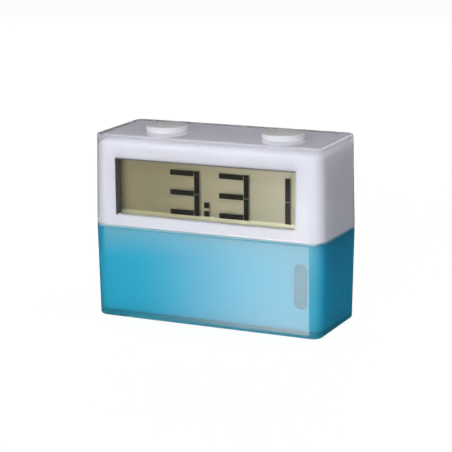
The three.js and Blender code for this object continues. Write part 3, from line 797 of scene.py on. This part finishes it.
# The housing, with towers for the base screws, posts for the key board and ribs behind the board
def makeHeadHousing():
    out = head["coverWall"] - head["bond"]
    top = coverHigh[2] - head["coverRoof"] + head["bond"]
    ceiling = housingHigh[2] - head["housingRoof"]
    edge = head["housingEdge"] + head["fitGap"] + head["bond"]
    wall = head["housingWall"] + head["fitGap"] + head["bond"]
    profile = capProfile(
        out, wall, coverLow[2] + head["housingFoot"], ceiling, top,
        edge, head["housingInner"], head["housingRim"],
    )
    cap = lidded(settled(caseRings(profile, headLean, lastHalf(profile))))
    middle = ceiling + head["housingRoof"] / 2
    extras = []
    for number in range(1, 5):
        place = sum(boxOf(f"base_screw_{number}"))[:2] / 2
        extras.append(rodMesh(place, head["towerRadius"], housingLow[2], middle, head["postSides"]))
    postFoot = boxOf("key_board")[1][2] + head["seatGap"]
    for side in ("left", "right"):
        place = sum(boxOf(f"key_board_screw_{side}"))[:2] / 2
        extras.append(rodMesh(place, head["postRadius"], postFoot, middle, head["postSides"]))
    boardHigh = boxOf("circuit_board")[1]
    ribFoot = boxOf("head_base")[1][2] + head["fitGap"]
    front = boardHigh[1] + head["seatGap"]
    rear = front + head["ribThickness"]
    reach = boardHigh[0] + np.array([-head["ribIn"], head["ribOut"]])
    for left, right in (reach, -reach[::-1]):
        extras.append(boxMesh((left, front, ribFoot), (right, rear, middle)))
    mesh = carved(carved(cap, extras, "UNION"), [windowTool(), *holeTools(head["buttonHole"])])
    piece = addPiece(
        "head_housing_moulding", mesh, "housingWhite", "head", ["head_housing"],
    )
    softenEdges(piece, head["housingSoft"])


windowShadeTrim = {
    "side": 0.15,  # thickness of the dark strip of painted shade at the left side
    "brow": 0.4,  # and at the top
    "bite": 0.02,  # the trim reaches this far into the walls
    "front": -18.55,
    "rear": -15.2,
}


# Painted shade in the recess: dark strips where its left wall and its top lie in shade, a left side
# and a brow, carried from front to rear
def makeWindowShade():
    bite = windowShadeTrim["bite"]
    left, low = head["windowLow"] + bite * np.array([-1, 1])
    right, high = head["windowHigh"] + bite * np.array([-1, 1])
    inner, under = left + bite + windowShadeTrim["side"], high - bite - windowShadeTrim["brow"]
    upper = [(right, under), (right, high), (left, high)]
    lower = [(left, low), (inner, low), (inner, under)]
    mesh = uprightPrism(np.array(upper + lower), windowShadeTrim["front"], windowShadeTrim["rear"])
    addPiece("window_lining", mesh, "liningDark", "head")


makeHeadCover()
makeHeadHousing()
makeWindowShade()
print("head made")

# Display

display = {
    "digitLow": 41.65,
    "digitHeight": 17.2,
    "digitWidth": 12.08,
    "bar": 2.0,
    "gap": 0.28,
    "breakDrop": 0.3,  # the break in the upright bars lies this far under the middle
    "places": {-16.55: "3", 3.92: "3", 20.65: "1"},  # left edge of each digit that shows
    "colon": (-2.41, 2.1, (41.85, 45.1)),  # left edge, side and feet of the two squares
    "thickness": 0.08,
}


# The lit bars of the time as rows of (left, right, foot, top)
def litBars():
    high, wide, bar, gap = (display[k] for k in ("digitHeight", "digitWidth", "bar", "gap"))
    split = high / 2 - display["breakDrop"]
    flat = wide - bar - gap
    bars = {
        "top": (0, flat, high - bar, high),
        "middle": (0, flat, (high - bar) / 2, (high + bar) / 2),
        "bottom": (0, flat, 0, bar),
        "upper": (wide - bar, wide, split + gap / 2, high),
        "lower": (wide - bar, wide, 0, split - gap / 2),
    }
    lit = {"3": list(bars), "1": ["upper", "lower"]}
    rows = [
        np.array(bars[name]) + [left, left, display["digitLow"], display["digitLow"]]
        for left, digit in display["places"].items()
        for name in lit[digit]
    ]
    left, side, feet = display["colon"]
    rows += [np.array([left, left + side, foot, foot + side]) for foot in feet]
    return np.array(rows)


# Each bar is a thin plate in the gap between the two glasses
def makeSegments():
    gapMiddle = (boxOf("lcd_front_glass")[1][1] + boxOf("lcd_rear_glass")[0][1]) / 2
    front = gapMiddle - display["thickness"] / 2
    rear = gapMiddle + display["thickness"] / 2
    x0, x1, z0, z1 = litBars().T
    outline = [(x0, z0), (x1, z0), (x1, z1), (x0, z1)]
    corners = [(x, y, z) for y in (front, rear) for x, z in outline]
    points = np.stack([np.stack(np.broadcast_arrays(*c), -1) for c in corners], 1)
    sides = np.array([
        [0, 1, 2, 3], [5, 4, 7, 6], [1, 5, 6, 2], [4, 0, 3, 7], [3, 2, 6, 7], [4, 5, 1, 0],
    ])
    first = np.arange(len(x0))[:, None, None] * len(corners)
    mesh = meshOf(points.reshape(-1, 3), (first + sides).reshape(-1, 4).tolist())
    addPiece("lcd_segments", mesh, "segmentInk", "head")


makeSegments()
print("display made")

# Buttons and springs

button = {
    "radius": 8.2,
    "roof": 2.0,
    "skirt": 1.6,
    "edge": 0.6,
    "edgeHold": 0.2,
    "crown": 0.45,
    "crownSpan": (0.97, 0.06, 9),  # first and last ring, as shares of the radius, and their number
    "stemRadius": 2.0,
    "stemFoot": 66.1,
    "sides": 96,
    "skirtFoot": 67.3,
    "earWidth": 2.6,
    "earReach": 10.4,
    "earTop": 67.8,
    "earThickness": 1.4,
}


# A button's cap, turned from its profile: stem, hollow, skirt, rounded edge and a top that falls
# from the middle with the square of the radius
def makeButton(side):
    name = side + "_button"
    top, radius, edge = boxOf(name)[1][2], button["radius"], button["edge"]
    hollow = radius - button["skirt"]
    under = top - button["roof"]
    shoulder = top - button["crown"]
    share = np.linspace(*button["crownSpan"])
    crown = np.column_stack([(radius - edge) * share, top - button["crown"] * share**2])
    profile = profileOf(
        (button["stemRadius"], button["stemFoot"]),
        (button["stemRadius"], under),
        (hollow, under),
        (hollow, button["skirtFoot"]),
        (radius, button["skirtFoot"]),
        (radius, shoulder - edge - button["edgeHold"]),
        bend((radius - edge, shoulder - edge), edge, 0, 90, 8),
        crown,
    )
    cap = lidded(turnedRings(profile, buttonPlaces[side], button["sides"]))
    x, half = buttonPlaces[side][0], button["earWidth"] / 2
    foot = button["earTop"] - button["earThickness"]
    ears = []
    for sign in (-1, 1):
        near, far = sorted([sign * hollow, sign * button["earReach"]])
        ears.append(boxMesh((x + near, -half, foot), (x + far, half, button["earTop"])))
    mesh = carved(cap, ears, "UNION")
    addPiece(name + "_cap", mesh, "buttonWhite", name, [name])


spring = {"radius": 5.0, "wire": 0.6, "turns": 6, "steps": 30, "sides": 8, "travel": 1.0}


# A round wire carried along a helix: the centre turns about the button's axis while it rises
def makeSpring(side):
    name = side + "_button_spring"
    low, high = boxOf(name)
    half = spring["wire"] / 2
    t = np.linspace(0, 1, spring["turns"] * spring["steps"] + 1)[:, None]
    angle = 2 * math.pi * spring["turns"] * t
    around = np.arange(spring["sides"]) * (2 * math.pi / spring["sides"])
    reach = spring["radius"] + half * np.cos(around)
    x = buttonPlaces[side][0] + reach * np.cos(angle)
    y = buttonPlaces[side][1] + reach * np.sin(angle)
    z = low[2] + half + (high[2] - low[2] - 2 * half) * t + half * np.sin(around)
    rings = np.stack([x, y, z], -1)[:, ::-1]
    piece = addPiece(side + "_spring_wire", lidded(rings), "platedSteel", "head", [name])
    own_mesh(piece)


for side in ("left", "right"):
    makeButton(side)
    makeSpring(side)
print("buttons made")

# Seal and screws

seal = {
    "lips": 2,
    "lipDepth": 0.35,
    "depth": 1.35,
    "steps": 24,
    "corner": 1.6,
    "leastCorner": 0.3,
    "cornerSteps": 8,
    "hold": 0.3,
}


# The seal's section, lips outwards, carried round the tray
def makeSeal():
    low, high = boxOf("tank_seal")
    rise = np.linspace(0, 1, seal["steps"])
    wave = seal["lipDepth"] * (0.5 + 0.5 * np.cos(2 * math.pi * seal["lips"] * rise + math.pi))
    outer = np.column_stack([seal["lipDepth"] - wave, within((low[2], high[2]), rise)])
    inner = np.array([[seal["depth"], high[2]], [seal["depth"], low[2]]])
    inset, z = np.concatenate([outer, inner]).T
    radius = np.maximum(seal["corner"] - inset, seal["leastCorner"])
    halfX, halfY = high[0] - inset, high[1] - inset
    rings = roundedRings(halfX, halfY, radius, seal["cornerSteps"], seal["hold"])
    mesh = looped(raised(rings, z))
    addPiece("tank_seal_ring", mesh, "rubberGrey", "head", ["tank_seal"])


screwKinds = {
    "base_screw": {"head": 2.1, "height": 1.2, "shank": 1.1, "length": 10, "cross": 1.3},
    "board_screw": {"head": 1.7, "height": 1.1, "shank": 0.8, "length": 3, "cross": 1.0},
    "key_board_screw": {"head": 1.9, "height": 1.2, "shank": 0.9, "length": 5.5, "cross": 1.2},
}
screwForm = {
    "crownSpan": (0.08, 1, 7),  # first and last ring, as shares of a right angle, and their number
    "wall": 0.45,  # share of the head's height that is upright
    "armWidth": 0.4,  # of the cross, as a share of its reach
    "crossFoot": 0.4,  # height over the seat, as a share of the head's
    "crossOver": 1.0,  # the cutter reaches this far beyond the head
    "sides": 32,
}


# A screw along +Z with its head below: a dome turned from its profile, with a cross cut into it
def screwMesh(kind):
    crown = np.linspace(*screwForm["crownSpan"]) * (math.pi / 2)
    fall = within((screwForm["wall"], 1), np.cos(crown))
    dome = np.column_stack([kind["head"] * np.sin(crown), -kind["height"] * fall])
    shank = [(kind["shank"], 0), (kind["shank"], kind["length"])]
    profile = profileOf(dome, (kind["head"], 0), shank)
    body = lidded(turnedRings(profile, (0, 0), screwForm["sides"]))
    arm, half = kind["cross"], kind["cross"] * screwForm["armWidth"] / 2
    low, high = -kind["height"] - screwForm["crossOver"], -kind["height"] * screwForm["crossFoot"]
    cuts = [boxMesh((-x, -y, low), (x, y, high)) for x, y in ((arm, half), (half, arm))]
    return carved(body, cuts)


# The screws stand where their nodes are: the board's face backwards, the others face down
def makeScrews():
    for node in [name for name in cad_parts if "screw" in name]:
        kind = screwKinds[node.rsplit("_", 1)[0]]
        mesh = screwMesh(kind)
        low, high = boxOf(node)
        middle = (low + high) / 2
        if node.startswith("board"):
            turn = Matrix.Rotation(math.pi / 2, 4, "X")
            seat = Vector((middle[0], high[1] - kind["height"], middle[2]))
        else:
            turn = Matrix.Identity(4)
            seat = Vector((middle[0], middle[1], low[2] + kind["height"]))
        mesh.transform(Matrix.Translation(seat * mm) @ turn)
        addPiece(node + "_turned", mesh, "platedSteel", "head", [node])


makeSeal()
makeScrews()
print("seal and screws made")

# Finishes of the solids that stay as they are

finishes = [
    ("sightFrost", ["level_window"]),
    ("paneClear", ["display_lens"]),
    ("displayGlass", ["lcd_front_glass", "lcd_rear_glass"]),
    ("reflectorFilm", ["lcd_reflector"]),
    ("darkPlastic", ["lcd_frame", "clock_chip", "left_switch", "right_switch"]),
    ("rubberGrey", ["zebra_strip"]),
    ("boardGreen", ["circuit_board", "key_board"]),
    ("platedSteel", ["quartz_crystal"]),
    ("canSleeve", ["reserve_capacitor"]),
    ("ribbonFlat", ["key_ribbon"]),
    ("housingWhite", ["head_base"]),
    ("zincSheet", ["zinc_plate_left", "zinc_plate_right"]),
    ("copperSheet", ["copper_plate_left", "copper_plate_right", "cell_link"]),
    ("wireRed", ["positive_lead"]),
    ("wireBlack", ["negative_lead"]),
]
for material, nodes in finishes:
    for node in nodes:
        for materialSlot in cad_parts[node].material_slots:
            materialSlot.link = "OBJECT"
            materialSlot.material = bpy.data.materials[material]
print("finishes set")

# Studio

lamps = {  # place and size in metres, power in watts, colour
    "key": ((0.14, -1.06, 0.2), (1.0, 0.22), 6.3, (0.99, 1.0, 1.01)),
    "fill": ((0.24, 0.1, 0.9), (0.5, 0.5), 0.9, (0.98, 0.95, 1.08)),
    "rear": ((-0.45, 0.95, 0.5), (0.6, 0.4), 2.2, (1, 1, 1)),
}
studio = {
    "aim": (0, 0, 0.04),  # the lamps point here
    "world": 0.24,
    "worldColour": (1.0, 0.97, 0.86),
    "worldGlossy": 0.12,
    "worldThrough": 0.44,
    "floorSize": 12.0,
    "floorDrop": 0.00005,
    "floorPlain": (0.8, 0.8, 0.8, 1),
    "floorShade": (0.16, 0.16, 0.16, 1),
    "floorWhite": 0.93,
    "floorGlossy": 0.0,
    "floorThrough": 0.35,
}


# One shader for plain light, and its own for the camera, for gloss and for glass
def byRay(tree, plain, *seen):
    path = addNode(tree, "LightPath")
    last = plain
    for ray, shader in zip(("Camera", "Glossy", "Transmission"), seen):
        mix = addNode(tree, "MixShader")
        wire(path, f"Is {ray} Ray", mix, 0)
        wire(last, 0, mix, 1)
        wire(shader, 0, mix, 2)
        last = mix
    return last


# White to the camera with a trace of the shadow, dark in gloss, dim through glass, otherwise pale
def makeFloor():
    half = studio["floorSize"] / 2
    corners = [(-half, -half, 0), (half, -half, 0), (half, half, 0), (-half, half, 0)]
    mesh = bpy.data.meshes.new("floor")
    mesh.from_pydata(corners, [], [(0, 1, 2, 3)])
    floor = newObject("floor", mesh)
    floor.location.z = -studio["floorDrop"]
    material, tree, output = bareMaterial("floorPale")
    plain = addNode(tree, "BsdfDiffuse", {"Color": studio["floorPlain"]})
    shade = addNode(tree, "BsdfDiffuse", {"Color": studio["floorShade"]})
    white, shiny, through = (
        addNode(tree, "Emission", {"Strength": studio[k]})
        for k in ("floorWhite", "floorGlossy", "floorThrough")
    )
    lit = addNode(tree, "AddShader")
    wire(shade, "BSDF", lit, 0)
    wire(white, "Emission", lit, 1)
    wire(byRay(tree, plain, lit, shiny, through), "Shader", output, "Surface")
    mesh.materials.append(material)


# A card that glows only in polished faces: a grid of points with its own glow at each
def glowCard(name, card, x, y, z, glow):
    rows, columns = glow.shape
    points = np.stack(np.broadcast_arrays(x, y, z), -1)
    corner = (np.arange(rows - 1)[:, None] * columns + np.arange(columns - 1)).reshape(-1, 1)
    faces = (corner + [0, columns, columns + 1, 1]).tolist()
    mesh = meshOf(points.reshape(-1, 3), faces, name)
    mesh.attributes.new("glow", "FLOAT", "POINT").data.foreach_set("value", glow.ravel())
    plane = newObject(name, mesh)
    for kind in ("camera", "diffuse", "transmission", "shadow", "volume_scatter"):
        setattr(plane, "visible_" + kind, False)
    material, tree, output = bareMaterial(name)
    light = addNode(tree, "Emission", {"Color": (*card["colour"], 1)})
    shown = addNode(tree, "Attribute", attribute_name="glow")
    strength = addNode(tree, "Math", {1: card["level"]}, operation="MULTIPLY")
    wire(shown, "Fac", strength, 0)
    wire(strength, "Value", light, "Strength")
    wire(light, "Emission", output, "Surface")
    mesh.materials.append(material)


# Shares from the start to 1, down a card's rows and along its columns
def cardGrid(card, start=0):
    rows, columns = card["grid"]
    return np.linspace(start, 1, rows)[:, None], np.linspace(start, 1, columns)[None, :]


frontCard = {
    "level": 7.2,
    "colour": (1.0, 0.8, 0.72),
    "near": 19.0,
    "far": 310.0,
    "fan": (265.5, 567.0),  # the card's sides lie on lines that fan out from here
    "meets": (-60.0, 42.5),  # where the left and the right of them meet the clock's front
    "across": (-34.0, 40.0),  # no glow left of these, all of it right of them
    "fadeIn": (0.0, 5.0),  # the glow grows between these distances from the clock
    "veil": (80.0, 140.0),  # between these it spreads to the left, up to a share
    "veilShare": 0.5,
    "head": (142.0, 154.0),  # and between these it drops to the share that the head mirrors
    "headShare": 0.2,
    "headSide": (14.0, 38.0),  # that share grows to the right
    "headEnd": (275.0, 195.0),  # and ends far from the clock
    "height": 0.3,
    "grid": (60, 60),
}


# Lies on the floor before the clock: its glow grows from left to right, and dims far from the clock
def makeFrontCard(card):
    down, along = cardGrid(card)
    depth = (card["far"] - card["near"]) * down
    meets = within(card["meets"], along)
    far = depth / (card["fan"][1] - card["near"])
    x = meets * (1 + far) - card["fan"][0] * far
    y = -card["near"] - depth
    across = ramp(meets, *card["across"])
    veil = ramp(depth, *card["veil"]) * card["veilShare"]
    glow = 1 - (1 - across * across * (3 - 2 * across)) * (1 - veil)
    beyond = ramp(depth, *card["head"])
    headGlow = ramp(meets, *card["headSide"]) ** 2 * ramp(depth, *card["headEnd"])
    glow = glow * (1 - beyond) + card["headShare"] * headGlow * beyond
    glow = glow * ramp(depth, *card["fadeIn"])
    glowCard("front_card", card, x, y, card["height"], glow)


cornerCard = {
    "level": 3.4,
    "colour": (1.0, 0.9, 0.85),
    "middle": (44.0, -16.0),
    "turn": (-21.0, 105.0),  # degrees to the right of the front
    "reach": (9.0, 150.0),
    "least": 0.2,  # share of the glow next to the corner
    "growth": 1.5,  # power of the distance with which it grows
    "height": 0.2,
    "grid": (30, 40),
}


# Lies on the floor round the clock's right front corner: its glow grows with the distance from the
# corner and fades as it turns to the right
def makeCornerCard(card):
    down, turn = cardGrid(card)
    distance = within(card["reach"], down)
    angle = np.radians(within(card["turn"], turn))
    x = card["middle"][0] + distance * np.sin(angle)
    y = card["middle"][1] - distance * np.cos(angle)
    grown = (distance / card["reach"][1]) ** card["growth"]
    glow = within((card["least"], 1), grown) * (1 - turn)
    glowCard("corner_card", card, x, y, card["height"], glow)


topCard = {
    "level": 5.5,
    "colour": (1.0, 1.0, 1.0),
    "y": -450.0,
    "height": 450.0,
    "half": (500.0, 200.0),
    "full": 0.375,  # it fades from this share of its half size outwards
    "grid": (12, 12),
}


# Hangs before and above the clock and shows in its rounded edges; it fades from its middle outwards
def makeTopCard(card):
    v, u = cardGrid(card, -1)
    glow = ramp(np.maximum(abs(u), abs(v)), 1, card["full"])
    x, y = u * card["half"][0], card["y"] + v * card["half"][1]
    glowCard("top_card", card, x, y, card["height"], glow)


rearCard = {
    "level": 1.7,
    "colour": (1.0, 1.0, 1.0),
    "y": 500.0,
    "x": (-140.0, 420.0),
    "z": (205.0, 430.0),
    "soft": 0.25,  # share of its size over which the left, lower and upper edges fade
    "grid": (12, 12),
}


# Stands behind the clock, above its top: it shows in the right-hand edges and the buttons' crowns
def makeRearCard(card):
    v, u = cardGrid(card)
    soft = card["soft"]
    x, z = within(card["x"], u), within(card["z"], v)
    glow = ramp(v, 0, soft) * ramp(v, 1, 1 - soft) * ramp(u, 0, soft)
    glowCard("rear_card", card, x, card["y"], z, glow)


def makeLamp(name, place, size, power, colour):
    data = bpy.data.lights.new(name, "AREA")
    data.shape = "RECTANGLE"
    data.size, data.size_y = size
    data.energy = power
    data.color = colour
    lamp = newObject(name, data)
    lamp.location = place
    towards = Vector(studio["aim"]) - lamp.location
    lamp.rotation_euler = towards.to_track_quat("-Z", "Y").to_euler()
    lamp.visible_camera = False
    lamp.visible_glossy = False


def makeWorld():
    world = bpy.data.worlds.new("studio")
    scene.world = world
    tree, output = bareTree(world, "OutputWorld")
    soft, white, shiny, through = (
        addNode(tree, "Background", {"Color": (1, 1, 1, 1), "Strength": level})
        for level in (studio["world"], 1, studio["worldGlossy"], studio["worldThrough"])
    )
    soft.inputs["Color"].default_value = (*studio["worldColour"], 1)
    wire(byRay(tree, soft, white, shiny, through), "Shader", output, "Surface")


# The photograph's viewing angle: angles in degrees, lengths in millimetres, the picture in pixels
photo = {
    "azimuth": 25.072,
    "elevation": 12.562,
    "roll": -0.458,
    "distance": 641.093,
    "target": (0, 0, 37),
    "focal": 1667.5,
    "side": 452,
    "offset": (-0.945, -3.751),
    "sensor": 36,
    "clip": 10,
}


def makeCamera():
    azimuth, elevation, roll = (math.radians(photo[k]) for k in ("azimuth", "elevation", "roll"))
    flat = math.cos(elevation)
    back = Vector((math.sin(azimuth) * flat, -math.cos(azimuth) * flat, math.sin(elevation)))
    level = Vector((math.cos(azimuth), math.sin(azimuth), 0))
    upright = back.cross(level)
    right = level * math.cos(roll) + upright * math.sin(roll)
    up = upright * math.cos(roll) - level * math.sin(roll)
    place = (Vector(photo["target"]) + back * photo["distance"]) * mm
    data = bpy.data.cameras.new("camera")
    data.sensor_width = photo["sensor"]
    data.lens = photo["focal"] / photo["side"] * data.sensor_width
    data.shift_x = -photo["offset"][0] / photo["side"]
    data.shift_y = photo["offset"][1] / photo["side"]
    data.clip_start = photo["clip"] * mm
    camera = newObject("camera", data)
    turn = Matrix((right, up, back)).transposed().to_4x4()
    camera.matrix_world = Matrix.Translation(place) @ turn
    scene.camera = camera


makeCamera()
makeFloor()
makeFrontCard(frontCard)
makeTopCard(topCard)
makeRearCard(rearCard)
makeCornerCard(cornerCard)
for name, spec in lamps.items():
    makeLamp(name, *spec)
makeWorld()
scene.view_settings.view_transform = "Standard"
print("studio made")
